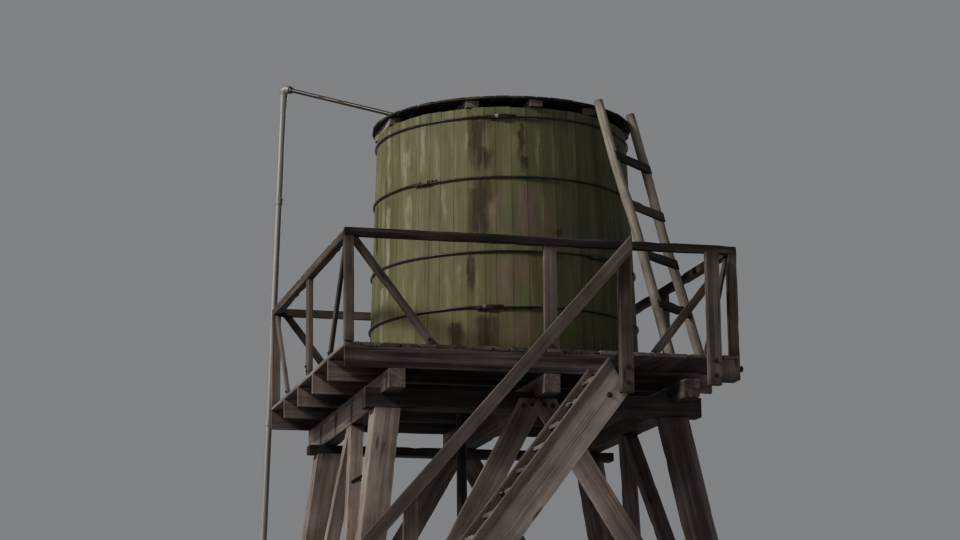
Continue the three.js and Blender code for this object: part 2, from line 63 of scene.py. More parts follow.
# Places from the frame, in metres
DECK_LOW, DECK_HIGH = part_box("deck")
DECK_TOP = DECK_HIGH.z
DECK_MIDDLE = middle_of("deck")
JOISTS = [f"joist_{i}" for i in range(1, 7)]
WALLS = [f"tank_wall_{i}" for i in range(1, 7)]
TANK_AXIS = middle_of("roof")
TANK_BASE, TANK_TOP = (corner.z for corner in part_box(WALLS[0]))
TANK_R_BOTTOM = max(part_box(wall)[1].x for wall in WALLS) - TANK_AXIS.x
TANK_HEIGHT = TANK_TOP - TANK_BASE
HOOP_NODES = [f"hoop_{i}" for i in range(1, 5)]
HOOP_CENTRES = [(low.z + high.z) / 2 for low, high in map(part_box, HOOP_NODES)]
ROOF_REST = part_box("roof")[1].z + 0.0003
ARM_REST = Vector((TANK_AXIS.x - 0.06, DECK_MIDDLE.y + 0.32, ROOF_REST))

# Sizes that match the solids
TANK_R_TOP = 1.44
STAVES = 60
STAVE_THICK = 0.05
HOOP_RADIUS = 0.011
LUG = {"length": 0.17, "depth": 0.04, "height": 0.044}
RAIL = 0.09
CORNER_POST = 0.1
MIDDLE_POST = {"width": 0.14, "thick": 0.06}
RAIL_BRACE = {"width": 0.09, "thick": 0.04, "run": 0.85}
STRINGER = {"thick": 0.045, "depth": 0.39, "slope": 1.29, "top_drop": 0.205}
TREAD = {"count": 24, "top_drop": 0.36, "depth": 0.24, "thick": 0.04, "inset": 0.045}
LADDER = {"angle": -48, "half_width": 0.35, "pole": 0.06}
LADDER_LEAN = {"foot_out": 2.352, "rim_out": 1.5221, "rim_up": 2.961}
RUNG = {"depth": 0.115, "thick": 0.034, "stand_off": 0.04, "overhang": 0.045}
RUNG_HEIGHTS = [0.6 + 0.573 * i for i in range(4)]
FILL_PIPE = {"radius": 0.042, "lean": 0.036, "elbow": 0.062}
ARM_RADIUS = 0.026
BRACE_PLANK = 0.045
FRAME_BATTER = 0.09
RAIL_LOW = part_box("railing_front")[1].z - RAIL

# Sizes of what only the scene shows
DISC_GAP = 0.004
STAVE_SEAM = 0.0008
ROD = {"overrun": 0.07, "bent_angle": 0.42, "lift": 0.0112, "out": 0.012}
STRINGER_BOLTS = [(1.11, 5.4), (-2.2, 1.1)]
STRAP = {"x": -1.0, "up": 4.8, "length": 0.17, "width": 0.034, "thick": 0.006, "slant": 35}

# Painted shade on timbers under the deck: how far from its ends such a timber begins to darken, over what
# length, and how much paler its ends are kept
PAINTED_SHADE_SPAN = {"from_end": 0.1, "fade": 0.35, "end_shift": 0.05}


# Nodes of a material, with short calls for what repeats
class Graph:
    def __init__(self, name, metallic=0.0, specular=0.3):
        self.material = bpy.data.materials.new(name)
        self.material.use_nodes = True
        self.tree = self.material.node_tree
        self.shader = self.tree.nodes["Principled BSDF"]
        self.shader.inputs["Metallic"].default_value = metallic
        self.shader.inputs["Specular IOR Level"].default_value = specular

    def node(self, kind, inputs, output=0, **settings):
        made = self.tree.nodes.new("ShaderNode" + kind)
        for key, value in settings.items():
            setattr(made, key, value)
        for key, value in inputs.items():
            if isinstance(value, bpy.types.NodeSocket):
                self.tree.links.new(value, made.inputs[key])
            else:
                made.inputs[key].default_value = value
        return made.outputs[output]

    def fact(self, name):
        return self.node("Attribute", {}, "Fac", attribute_name=name)

    def place(self, name):
        return self.node("Attribute", {}, "Vector", attribute_name=name)

    def stretched(self, vector, by):
        return self.node("VectorMath", {0: vector, 1: by}, operation="MULTIPLY")

    def part(self, vector, axis):
        return self.node("SeparateXYZ", {0: vector}, axis)

    def noise(self, vector, detail=3.0, rough=0.55, scale=1.0):
        settings = {"Vector": vector, "Scale": scale, "Detail": detail, "Roughness": rough}
        return self.node("TexNoise", settings)

    def drawn(self, vector, by, detail=3.0, rough=0.55):
        """Noise that is finer along some axes than along others."""
        return self.noise(self.stretched(vector, by), detail, rough)

    def spots(self, vector):
        return self.node("TexVoronoi", {"Vector": vector, "Scale": 1.0}, "Distance")

    def math(self, operation, a, b=0.0):
        return self.node("Math", {0: a, 1: b}, operation=operation)

    def times(self, *values):
        product = values[0]
        for value in values[1:]:
            product = self.math("MULTIPLY", product, value)
        return product

    def flip(self, value):
        return self.math("SUBTRACT", 1.0, value)

    def centred(self, value):
        return self.math("SUBTRACT", value, 0.5)

    def ease(self, value, low, high, start=0.0, end=1.0):
        inputs = {"Value": value, "From Min": low, "From Max": high, "To Min": start, "To Max": end}
        return self.node("MapRange", inputs, interpolation_type="SMOOTHSTEP")

    def blend(self, factor, a, b):
        return self.node("Mix", {0: factor, 6: opaque(a), 7: opaque(b)}, 2, data_type="RGBA")

    def lit(self, colour, factor):
        return self.node("VectorMath", {0: colour, "Scale": factor}, operation="SCALE")

    def bump(self, height, distance, strength=0.7):
        inputs = {"Height": height, "Distance": distance, "Strength": strength}
        return self.node("Bump", inputs)

    def finish(self, colour, roughness, normal):
        for key, socket in (("Base Color", colour), ("Roughness", roughness), ("Normal", normal)):
            self.tree.links.new(socket, self.shader.inputs[key])
        return self.material


def opaque(colour):
    return colour if isinstance(colour, bpy.types.NodeSocket) else (*colour, 1.0)


BLEACHED = (0.28, 0.25, 0.232)
# Painted shadow and grime, in a band along one edge of a board
SHADOW_AND_GRIME = (0.07, 0.057, 0.047)


def timber_flaws(g, grain):
    """Broken splits along the grain, and the cores of knots."""
    line = g.drawn(grain, (0.32, 15.0, 15.0), 2.0, 0.4)
    off_line = g.math("ABSOLUTE", g.centred(line))
    broken = g.drawn(grain, (0.9, 6.0, 6.0), 2.0)
    split = g.times(g.flip(g.ease(off_line, 0.002, 0.011)), g.ease(broken, 0.46, 0.62))
    knot = g.spots(g.stretched(grain, (1.3, 6.5, 6.5)))
    return split, g.flip(g.ease(knot, 0.05, 0.16))


def timber_colour(g, shades, streak, blotch, up, silver):
    """Dark to pale by each board's tone, bleached in streaks, with a dark band of painted shadow and grime
    near one edge.
    """
    dark, middle, pale = shades
    tone = g.math("ADD", g.fact("tone"), g.times(g.centred(blotch), 0.5))
    colour = g.blend(g.ease(tone, 0.0, 0.55), dark, middle)
    colour = g.blend(g.ease(tone, 0.45, 1.0), colour, pale)
    bleach = g.times(g.ease(streak, 0.42, 0.68), g.ease(up, -0.6, 0.9, 0.55, 1.0))
    colour = g.blend(g.times(bleach, silver), colour, BLEACHED)
    # Painted shadow: a dark band a little below the edge at place X, and dark grime streaks where X is 0
    from_edge = g.math("ADD", g.part(g.place("place"), "X"), g.times(g.centred(streak), 0.12))
    shadow_and_grime = g.times(g.ease(from_edge, 0.012, 0.03), g.flip(g.ease(from_edge, 0.09, 0.15)))
    return g.blend(g.times(shadow_and_grime, g.ease(blotch, 0.25, 0.5, 0.5, 0.9)), colour, SHADOW_AND_GRIME)


def timber_material(name, dark, middle, pale, silver=0.35, under=0.35):
    """Old sawn timber with fibres, bands, splits and knots, darker at its ends, with painted shade on its
    underside.
    A point's place X is its distance from the board's edge, below which a dark band is painted as shadow. At
    0 only some streaks are darkened, as grime."""
    g = Graph(name, specular=0.2)
    grain = g.place("grain")
    fibre = g.drawn(grain, (1.1, 42.0, 42.0), 5.0, 0.62)
    streak = g.drawn(grain, (0.4, 11.0, 11.0))
    blotch = g.noise(g.node("TexCoord", {}, "Object"), 4.0, 0.6, 1.6)
    split, core = timber_flaws(g, grain)
    up = g.part(g.node("NewGeometry", {}, "Normal"), "Z")
    colour = timber_colour(g, (dark, middle, pale), streak, blotch, up, silver)
    light = g.times(
        g.ease(fibre, 0.28, 0.72, 0.76, 1.18),
        g.ease(streak, 0.3, 0.7, 0.84, 1.13),
        g.ease(blotch, 0.3, 0.7, 0.78, 1.14),
        g.flip(g.times(split, 0.6)),
        g.flip(g.times(core, 0.6)),
        # Painted shade: faces that look down are darkened to the under share
        g.ease(up, -0.95, -0.5, under, 1.0),
        g.ease(g.fact("end"), 0.0, 0.14, 0.62, 1.0),
        g.math("ADD", 1.0, g.times(g.math("POWER", g.fact("wear"), 9.0), 0.28)),
    )
    height = g.math("SUBTRACT", fibre, g.times(split, 1.4))
    roughness = g.ease(streak, 0.2, 0.8, 0.78, 0.94)
    return g.finish(g.lit(colour, light), roughness, g.bump(height, 0.005))


# Colours of the tank's paint, of the wood under it and of what has run over it
PAINT = {
    "dull": (0.069, 0.074, 0.034), "bright": (0.097, 0.101, 0.05), "mossy": (0.069, 0.082, 0.033),
    "low": (0.077, 0.085, 0.032), "chalk": (0.21, 0.203, 0.15), "bare": (0.125, 0.082, 0.068),
    "thin": (0.056, 0.048, 0.028), "rust": (0.045, 0.031, 0.018), "drip": (0.024, 0.016, 0.008),
    "splash": (0.042, 0.035, 0.018),
}

# Stains on the staves: arc from the tank's front, top, bottom and half width, in metres
BROWN_DRIPS = [
    (-0.66, 2.76, 2.16, 0.13), (-0.61, 2.42, 2.04, 0.14), (-0.54, 2.76, 2.56, 0.16),
    (-0.6, 2.06, 1.66, 0.13), (-0.66, 1.96, 1.26, 0.16), (-0.17, 2.7, 2.2, 0.04), (-0.15, 2.3, 2.04, 0.06),
    (-0.93, 0.46, 0.0, 0.12), (-0.59, 0.52, 0.0, 0.17), (-0.75, 1.18, 0.7, 0.07), (0.26, 1.5, 1.3, 0.06),
    (1.3, 2.66, 1.9, 0.08), (-2.3, 2.02, 1.3, 0.08), (2.6, 1.18, 0.4, 0.1), (3.9, 2.6, 2.0, 0.07),
]
BARE_PATCHES = [
    (-0.12, 1.98, 1.3, 0.17), (-0.38, 1.14, 0.46, 0.15), (-0.2, 1.18, 0.76, 0.1), (-0.22, 0.54, 0.08, 0.18),
    (0.12, 1.9, 1.4, 0.12), (-0.5, 1.9, 1.4, 0.08), (1.9, 1.1, 0.4, 0.14), (-3.1, 2.5, 1.8, 0.12),
    (3.3, 0.6, 0.1, 0.16),
]
CHALK_MARKS = [
    (-1.33, 2.76, 2.1, 0.055), (-1.6, 2.5, 1.98, 0.07), (-1.95, 2.8, 2.0, 0.05), (-1.55, 1.96, 1.4, 0.07),
    (-0.5, 1.86, 1.5, 0.05), (-1.95, 1.9, 0.7, 0.06), (-0.38, 1.16, 0.6, 0.05), (-1.05, 2.0, 1.5, 0.04),
    (-0.78, 2.6, 2.2, 0.035), (-0.9, 1.1, 0.7, 0.04), (-2.1, 1.0, 0.2, 0.07), (0.02, 2.62, 2.1, 0.03),
]


class StaveGraph(Graph):
    """With noises over the tank's side, and each point's arc and height, plain and ragged."""
    def __init__(self, name):
        super().__init__(name, specular=0.25)
        place = self.place("place")
        self.arc, self.up = self.part(place, "X"), self.part(place, "Y")
        self.fibre = self.drawn(self.place("grain"), (1.6, 40.0, 40.0), 5.0, 0.62)
        self.streak = self.drawn(place, (9.0, 0.7, 1.0), 4.0, 0.6)
        self.cloud = self.drawn(place, (2.6, 1.5, 1.0), 4.0, 0.6)
        self.flake = self.drawn(place, (16.0, 3.4, 1.0), 5.0, 0.7)
        self.trickle = self.drawn(place, (36.0, 1.3, 1.0), 4.0, 0.6)
        wobble = self.centred(self.drawn(place, (3.0, 4.0, 1.0)))
        ragged = self.centred(self.drawn(place, (22.0, 7.0, 1.0), 4.0, 0.7))
        bent = self.math("ADD", self.arc, self.times(wobble, 0.13))
        self.bent_arc = self.math("ADD", bent, self.times(ragged, 0.1))
        self.bent_up = self.math("ADD", self.up, self.times(ragged, 0.3))


def stain_mask(g, spots, fade):
    """Where a listed stain lies, with a soft rim and a longer fade at its foot."""
    whole = 0.0
    for middle, top, bottom, half in spots:
        aside = g.math("ABSOLUTE", g.math("SUBTRACT", g.bent_arc, middle))
        mask = g.times(
            g.flip(g.ease(aside, half * 0.3, half)),
            g.ease(g.bent_up, bottom, bottom + fade),
            g.flip(g.ease(g.bent_up, top - 0.06, top)),
        )
        whole = g.math("MAXIMUM", whole, mask)
    return whole


def hoop_runs(g, hoops):
    """Rust that has run down from each hoop."""
    whole = 0.0
    streaks = g.ease(g.streak, 0.5, 0.66)
    for hoop in hoops:
        above = g.ease(g.up, hoop, hoop + 0.012)
        below = g.times(g.ease(g.up, hoop - 0.3, hoop - 0.02), g.flip(above))
        whole = g.math("MAXIMUM", whole, g.times(below, streaks))
    return whole


def faded_paint(g):
    """Green paint that differs from stave to stave, mossy in clouds and yellower low down."""
    colour = g.blend(g.ease(g.fact("tone"), 0.0, 1.0), PAINT["dull"], PAINT["bright"])
    colour = g.blend(g.ease(g.cloud, 0.35, 0.7, 0.0, 0.6), colour, PAINT["mossy"])
    return g.blend(g.flip(g.ease(g.up, 0.5, 1.5, 0.55, 1.0)), colour, PAINT["low"])


def worn_paint(g, colour):
    """Chalky marks, most on the sunny side, then bare wood, then streaks of thin paint."""
    chalk = stain_mask(g, CHALK_MARKS, 0.25)
    chalk = g.math("MAXIMUM", chalk, g.times(g.ease(g.streak, 0.5, 0.7), 0.6))
    sunny = g.ease(g.arc, -2.3, -0.2, 1.0, 0.5)
    colour = g.blend(g.times(chalk, sunny, g.ease(g.flake, 0.3, 0.6), 0.8), colour, PAINT["chalk"])
    cloudy = g.ease(g.times(g.cloud, g.fact("tone")), 0.4, 0.6)
    patchy = g.times(cloudy, g.ease(g.flake, 0.42, 0.56))
    bare = g.math("MAXIMUM", stain_mask(g, BARE_PATCHES, 0.2), g.times(patchy, 0.7))
    flaky = g.ease(g.flake, 0.36, 0.54, 0.2, 1.0)
    colour = g.blend(g.times(bare, flaky, 0.8), colour, PAINT["bare"])
    thin = g.times(g.flip(g.ease(g.streak, 0.3, 0.46)), g.ease(g.flake, 0.3, 0.7))
    return g.blend(g.times(thin, 0.4), colour, PAINT["thin"])


def stained_paint(g, colour, hoops):
    """Rust under the hoops, brown drips and splashes from the deck."""
    rust = g.times(hoop_runs(g, hoops), 0.4)
    colour = g.blend(rust, colour, PAINT["rust"])
    trickles = g.ease(g.trickle, 0.34, 0.54, 0.6, 1.0)
    drips = g.times(stain_mask(g, BROWN_DRIPS, 0.2), trickles)
    colour = g.blend(g.times(drips, 0.92), colour, PAINT["drip"])
    splash = g.times(g.flip(g.ease(g.up, 0.0, 0.42)), g.ease(g.cloud, 0.36, 0.6))
    return g.blend(g.times(splash, 0.45), colour, PAINT["splash"])


def stave_material(name, hoops):
    """Faded sage paint on staves, with hoops at the given heights above the tank's base."""
    g = StaveGraph(name)
    colour = stained_paint(g, worn_paint(g, faded_paint(g)), hoops)
    light = g.times(
        g.ease(g.fibre, 0.28, 0.72, 0.88, 1.09),
        g.ease(g.streak, 0.3, 0.7, 0.88, 1.09),
        g.flip(g.times(g.math("POWER", g.fact("wear"), 7.0), 0.24)),
    )
    height = g.math("ADD", g.times(g.fibre, 0.5), g.times(g.flake, 0.5))
    roughness = g.ease(g.flake, 0.3, 0.7, 0.66, 0.88)
    return g.finish(g.lit(colour, light), roughness, g.bump(height, 0.002))


def metal_material(name, clean, rust, share, metallic):
    """Painted or bare metal with rust in blotches and runs. A larger share rusts more of it."""
    g = Graph(name, metallic=metallic, specular=0.4)
    grain = g.place("grain")
    blotch = g.drawn(grain, (5.0, 14.0, 14.0), 5.0, 0.65)
    run = g.drawn(grain, (0.8, 30.0, 30.0), 4.0, 0.6)
    pits = g.drawn(grain, (90.0, 90.0, 90.0), 3.0, 0.6)
    patches = g.math("ADD", g.times(blotch, 0.65), g.times(run, 0.35))
    rusted = g.ease(patches, 0.62 - share * 0.3, 0.72 - share * 0.3)
    colour = g.blend(rusted, clean, rust)
    light = g.times(g.ease(run, 0.3, 0.7, 0.78, 1.16), g.ease(pits, 0.3, 0.7, 0.88, 1.08))
    height = g.math("ADD", g.times(pits, 0.5), g.times(rusted, 0.6))
    roughness = g.ease(rusted, 0.0, 1.0, 0.42, 0.86)
    return g.finish(g.lit(colour, light), roughness, g.bump(height, 0.002, 0.5))


# Timbers: dark, middle and pale colours, how much they bleach, and the under share of painted shade on their
# undersides
WEATHERED = timber_material(
    "weathered_timber", (0.044, 0.032, 0.03), (0.1, 0.076, 0.067), (0.21, 0.166, 0.142))
BROWNED = timber_material(
    "browned_timber", (0.017, 0.0125, 0.011), (0.04, 0.03, 0.0255), (0.1, 0.078, 0.065), 0.25, 0.6)
SHADED = timber_material(
    "shaded_timber", (0.015, 0.0115, 0.0115), (0.032, 0.025, 0.023), (0.073, 0.058, 0.051), 0.14, 0.35)
TRODDEN = timber_material(
    "trodden_timber", (0.07, 0.056, 0.049), (0.137, 0.112, 0.099), (0.225, 0.19, 0.168), 0.35)
POLES = timber_material(
    "barked_poles", (0.075, 0.063, 0.052), (0.125, 0.107, 0.088), (0.205, 0.178, 0.147), 0.4, 0.6)
PAINTED = stave_material("green_staves", [z - TANK_BASE for z in HOOP_CENTRES])
IRON = metal_material("dark_iron", (0.016, 0.014, 0.014), (0.05, 0.029, 0.02), 0.35, 0.3)
PIPE = metal_material("grey_pipe", (0.19, 0.184, 0.184), (0.11, 0.072, 0.05), 0.12, 0.25)


# One object made of many worn parts. Every vertex knows its place in its own wood or metal.
class Piece:
    def __init__(self, name):
        self.name = name
        self.points = []
        self.faces = []
        self.facts = {"tone": [], "wear": [], "end": []}
        self.vectors = {"grain": [], "place": []}

    def add(self, point, grain, tone=0.5, wear=0.0, end=1.0, place=(0.0, 0.0, 0.0)):
        self.points.append(tuple(point))
        self.vectors["grain"].extend(grain)
        self.vectors["place"].extend(place)
        for key, value in (("tone", tone), ("wear", wear), ("end", end)):
            self.facts[key].append(value)

    def build(self, material, slot, *nodes):
        mesh = bpy.data.meshes.new(self.name)
        mesh.from_pydata(self.points, [], self.faces)
        mesh.materials.append(material)
        for key, values in self.facts.items():
            mesh.attributes.new(key, "FLOAT", "POINT").data.foreach_set("value", values)
        for key, values in self.vectors.items():
            mesh.attributes.new(key, "FLOAT_VECTOR", "POINT").data.foreach_set("vector", values)
        mesh.polygons.foreach_set("use_smooth", [True] * len(mesh.polygons))
        mesh.set_sharp_from_angle(angle=math.radians(52))
        made = new_object(self.name, mesh)
        weighted = made.modifiers.new("flat_faces", "WEIGHTED_NORMAL")
        weighted.keep_sharp = True
        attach(made, "root")
        if nodes:
            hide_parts(*nodes)


def solid_between(lower, upper):
    """A closed solid from two outlines with the same number of points."""
    bm = bmesh.new()
    first = [bm.verts.new(p) for p in lower]
    last = [bm.verts.new(p) for p in upper]
    bm.faces.new(first)
    bm.faces.new(last)
    for i, vert in enumerate(first):
        j = (i + 1) % len(first)
        bm.faces.new((vert, first[j], last[j], last[i]))
    bmesh.ops.recalc_face_normals(bm, faces=bm.faces)
    return bm


def block(low, high):
    outline = [(low[0], low[1]), (high[0], low[1]), (high[0], high[1]), (low[0], high[1])]
    return solid_between([(x, y, low[2]) for x, y in outline], [(x, y, high[2]) for x, y in outline])


def plate(outline, near, far, plane="xz"):
    """An outline of (across, up) points in the XZ or the YZ plane, from near to far."""
    def spread(depth):
        return [(u, depth, v) if plane == "xz" else (depth, u, v) for u, v in outline]
    return solid_between(spread(near), spread(far))


def sloping(start, end, width):
    """Outline of a timber from start to end, cut level at both, with its width across the grain."""
    lean = (end[0] - start[0]) / (end[1] - start[1])
    half = width / 2 * math.hypot(1, lean)
    corners = ((start, -half), (start, half), (end, half), (end, -half))
    return [(point[0] + aside, point[1]) for point, aside in corners]


def random_place():
    """Where in an endless wood a part is cut from, so that no two look alike."""
    return Vector([dice.uniform(-40, 40) for _ in range(3)])


def board_axes(bm, along):
    """Unit vectors along the grain, across the widest face and into the board."""
    if along is None:
        longest = max(bm.edges, key=lambda e: e.calc_length())
        along = longest.verts[1].co - longest.verts[0].co
    along = Vector(along).normalized()
    bm.normal_update()
    long_faces = (f for f in bm.faces if abs(f.normal.dot(along)) < 0.5)
    widest = max(long_faces, key=lambda f: f.calc_area())
    across = along.cross(widest.normal).normalized()
    return along, across, across.cross(along)


def cut(bm, point, normal):
    every = bm.verts[:] + bm.edges[:] + bm.faces[:]
    return bmesh.ops.bisect_plane(bm, geom=every, plane_co=point, plane_no=normal)["geom_cut"]


def cut_up(bm, centre, axes, step):
    """Cuts a board through its middle, where its wear is 0, and into lengths of about one step.
    Gives the wear layer, and how far the board reaches along its grain."""
    along, across, depth = axes
    wear = bm.verts.layers.float.new("wear")
    for vert in bm.verts:
        vert[wear] = 1.0
    for normal in (across, depth):
        for part in cut(bm, centre, normal):
            if isinstance(part, bmesh.types.BMVert):
                part[wear] = 0.0
    reach = [(v.co - centre).dot(along) for v in bm.verts]
    low, high = min(reach), max(reach)
    lengths = max(2, round((high - low) / step))
    for i in range(1, lengths):
        cut(bm, centre + along * (low + (high - low) * i / lengths), along)
    return wear, low, high


def wear_down(bm, wear, seed, rough, chips):
    """Moves the surface inwards in slow waves and takes chips out of the worn edges."""
    bm.normal_update()
    for vert in bm.verts:
        waves = 0.5 + 0.5 * noise.noise(vert.co * 2.3 + seed)
        chip = max(0.0, noise.noise(vert.co * 6.0 - seed) - 0.12) * chips * 2.0
        vert.co -= vert.normal * (rough * waves + chip * vert[wear] ** 4)


def add_board(piece, bm, along=None, tone=0.5, bevel=0.006, rough=0.002, chips=0.007, step=0.1,
              place_of=None, painted_shade=0.0):
    """Rounds and wears a raw solid, cuts it into short lengths and adds it to the piece with its grain.
    The painted shade share is how much darker its wood is painted away from its ends, as shade under the
    deck."""
    bmesh.ops.remove_doubles(bm, verts=bm.verts, dist=1e-5)
    bmesh.ops.dissolve_limit(bm, angle_limit=math.radians(1), verts=bm.verts, edges=bm.edges)
    along, across, depth = board_axes(bm, along)
    centre = sum((v.co for v in bm.verts), Vector()) / len(bm.verts)
    bmesh.ops.bevel(bm, geom=bm.edges[:], offset=bevel, segments=2, profile=0.6, affect="EDGES",
                    clamp_overlap=True)
    wear, low, high = cut_up(bm, centre, (along, across, depth), step)
    seed = random_place()
    wear_down(bm, wear, seed, rough, chips)

    start = len(piece.points)
    # Painted light: the ends of timbers with painted shade are kept paler
    end_shift = PAINTED_SHADE_SPAN["end_shift"] if painted_shade else 0.0
    for i, vert in enumerate(bm.verts):
        vert.index = i
        rel = vert.co - centre
        run = rel.dot(along)
        grain = (run + seed.x, rel.dot(across) + seed.y * 0.1, rel.dot(depth) + seed.z * 0.1)
        place = place_of(vert.co) if place_of else (0.0, 0.0, 0.0)
        end = min(run - low, high - run)
        # Painted shade: darker away from the ends
        shade_drop = painted_shade * min(1.0, max(0.0, (end - PAINTED_SHADE_SPAN["from_end"]) / PAINTED_SHADE_SPAN["fade"]))
        piece.add(vert.co, grain, tone - shade_drop, vert[wear], end + end_shift, place)
    piece.faces.extend([start + v.index for v in face.verts] for face in bm.faces)
    bm.free()


def add_skin(piece, start, rings, sides):
    """Faces around rings of points, the first of which begins at start, with flat ends."""
    for row in range(rings - 1):
        for i in range(sides):
            a, b = start + row * sides + i, start + row * sides + (i + 1) % sides
            piece.faces.append([a, b, b + sides, a + sides])
    top = start + (rings - 1) * sides
    piece.faces.append(list(range(start + sides - 1, start - 1, -1)))
    piece.faces.append(list(range(top, top + sides)))


def add_turned(piece, origin, axis, profile, sides):
    """A form turned about an axis from (radius, height) points, with flat ends. Six sides make a nut."""
    axis = Vector(axis).normalized()
    side = axis.orthogonal().normalized()
    other = axis.cross(side)
    start = len(piece.points)
    for radius, height in profile:
        for i in range(sides):
            angle = 2 * math.pi * i / sides
            spread = side * math.cos(angle) * radius + other * math.sin(angle) * radius
            grain = (height, spread.dot(side) + origin[0], spread.dot(other) + origin[2])
            piece.add(Vector(origin) + axis * height + spread, grain)
    add_skin(piece, start, len(profile), sides)


def add_tube(piece, path, radii, sides=12, tone=0.5, lumps=0.0):
    """A rod, pipe or pole along a path, with one radius or a radius for each point."""
    radii = radii if isinstance(radii, list) else [radii] * len(path)
    seed = random_place()
    start = len(piece.points)
    lengths = [0.0]
    for a, b in zip(path, path[1:]):
        lengths.append(lengths[-1] + (b - a).length)
    heading = (path[1] - path[0]).normalized()
    side = heading.orthogonal().normalized()
    for i, point in enumerate(path):
        ahead = path[min(i + 1, len(path) - 1)] - path[max(i - 1, 0)]
        turn = heading.rotation_difference(ahead.normalized())
        heading = ahead.normalized()
        side = (turn @ side).normalized()
        other = heading.cross(side)
        end = min(lengths[i], lengths[-1] - lengths[i])
        for k in range(sides):
            angle = 2 * math.pi * k / sides
            out = side * math.cos(angle) + other * math.sin(angle)
            lump = 0.5 + 0.5 * noise.noise((point + out * 0.1) * 5 + seed)
            radius = radii[i] * (1 - lumps * lump)
            across, depth = radius * math.cos(angle), radius * math.sin(angle)
            grain = (lengths[i] + seed.x, across + seed.y * 0.1, depth)
            piece.add(point + out * radius, grain, tone, 0.0, end)
    add_skin(piece, start, len(path), sides)


def add_bolt(piece, point, outward, size=0.022):
    """A washer with a hexagon nut and the bolt's end."""
    washer = [(size * 1.5, -0.004), (size * 1.5, 0.003), (size * 1.4, 0.005)]
    nut = [(size, 0.0), (size, size * 0.7), (size * 0.85, size * 0.85)]
    stub = [(size * 0.5, 0.0), (size * 0.5, size * 1.25), (size * 0.4, size * 1.35)]
    for profile, sides in ((washer, 18), (nut, 6), (stub, 12)):
        add_turned(piece, point, outward, profile, sides)


def add_nail(piece, point, outward, radius=0.009):
    add_turned(piece, point, outward, [(radius, -0.002), (radius, 0.001), (radius * 0.6, 0.0028)], 8)


# Timbers that are one solid each: the share is how pale their wood is
SINGLE_TIMBERS = {
    # Painted shade: the right side's legs, braces and girder have low shares for the shade they stand in
    "leg_front_left": 0.72, "leg_front_right": 0.2, "leg_back_left": 0.62, "leg_back_right": 0.15,
    "cap_front": 0.3, "cap_back": 0.25, "girder_left": 0.6, "girder_middle": 0.6, "girder_right": 0.15,
    "brace_front_left": 0.62, "brace_front_right": 0.7, "brace_back_left": 0.4, "brace_back_right": 0.45,
    "brace_left_left": 0.85, "brace_left_right": 0.8, "brace_right_left": 0.2, "brace_right_right": 0.25,
    "joist_1": 0.15, "joist_2": 0.75, "joist_3": 0.7, "joist_4": 0.78, "joist_5": 0.7, "joist_6": 0.6,
    "deck_corner_block": 0.6, "railing_outer_post": 0.7, "railing_outer_brace": 0.6, "stair_newel": 0.65,
    "handrail_post_1": 0.6, "handrail_post_2": 0.62, "stair_handrail": 0.42,
    "roof_beam_1": 0.9, "roof_beam_2": 0.95, "roof_beam_3": 1.0, "roof_beam_4": 0.9, "roof_beam_5": 0.8,
}
HEAVY_TIMBERS = ("leg", "girder", "cap")
BROWN_TIMBERS = ("joist_1", "railing_outer", "stair_newel")
# Timbers under the deck that get painted shade away from their ends
SHADE_PAINTED_TIMBERS = ("girder", *JOISTS[1:])
SHADED_SLOT = ("cap", "roof_beam", "girder")


def raw_solid(node):
    bm = bmesh.new()
    bm.from_mesh(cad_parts[node].data)
    return bm


def timber_of(node):
    if node.startswith("cap"):
        return SHADED
    return BROWNED if node.startswith(BROWN_TIMBERS) else WEATHERED


def make_single_timbers():
    for node, tone in SINGLE_TIMBERS.items():
        piece = Piece(f"{node}_timber")
        bevel, chips = (0.011, 0.012) if node.startswith(HEAVY_TIMBERS) else (0.006, 0.008)
        # Painted shade share for the timbers under the deck
        painted_shade = 0.75 if node.startswith(SHADE_PAINTED_TIMBERS) else 0.0
        add_board(piece, raw_solid(node), tone=tone, bevel=bevel, chips=chips, step=0.09, painted_shade=painted_shade)
        slot = "shaded_timber" if node.startswith(SHADED_SLOT) else "weathered_timber"
        piece.build(timber_of(node), slot, node)


def make_deck():
    """Planks from front to back with gaps between them and uneven ends."""
    piece = Piece("deck_planks")
    count, half_gap = 22, 0.0035
    width = (DECK_HIGH.x - DECK_LOW.x) / count
    for i in range(count):
        left = DECK_LOW.x + i * width
        front = DECK_LOW.y + dice.uniform(0, 0.014)
        back = DECK_HIGH.y - dice.uniform(0, 0.02)
        top = DECK_TOP - dice.uniform(0, 0.004)
        low = (left + (half_gap if i else 0), front, DECK_LOW.z)
        high = (left + width - (half_gap if i < count - 1 else 0), back, top)
        add_board(piece, block(low, high), along=(0, 1, 0), tone=dice.uniform(0.25, 0.75))
    piece.build(WEATHERED, "weathered_timber", "deck")
    make_deck_nails(count, width)


def make_deck_nails(count, width):
    nails = Piece("deck_nails")
    for joist in JOISTS:
        middle = middle_of(joist).y
        for i in range(count):
            for share in (0.22, 0.78):
                x = DECK_LOW.x + (i + share) * width + dice.uniform(-0.01, 0.01)
                y = middle + dice.uniform(-0.012, 0.012)
                add_nail(nails, (x, y, DECK_TOP - 0.003), UP)
    nails.build(IRON, "dark_iron")


def tank_radius(up):
    return TANK_R_BOTTOM + (TANK_R_TOP - TANK_R_BOTTOM) * up / TANK_HEIGHT


def on_tank(angle, radius, z):
    return Vector((TANK_AXIS.x + radius * math.cos(angle), TANK_AXIS.y + radius * math.sin(angle), z))


def stave_place(point):
    """Arc from the tank's front and height above its base."""
    rel = point - TANK_AXIS
    angle = math.atan2(rel.x, -rel.y)
    return (angle * tank_radius(point.z - TANK_BASE), point.z - TANK_BASE, 0.0)


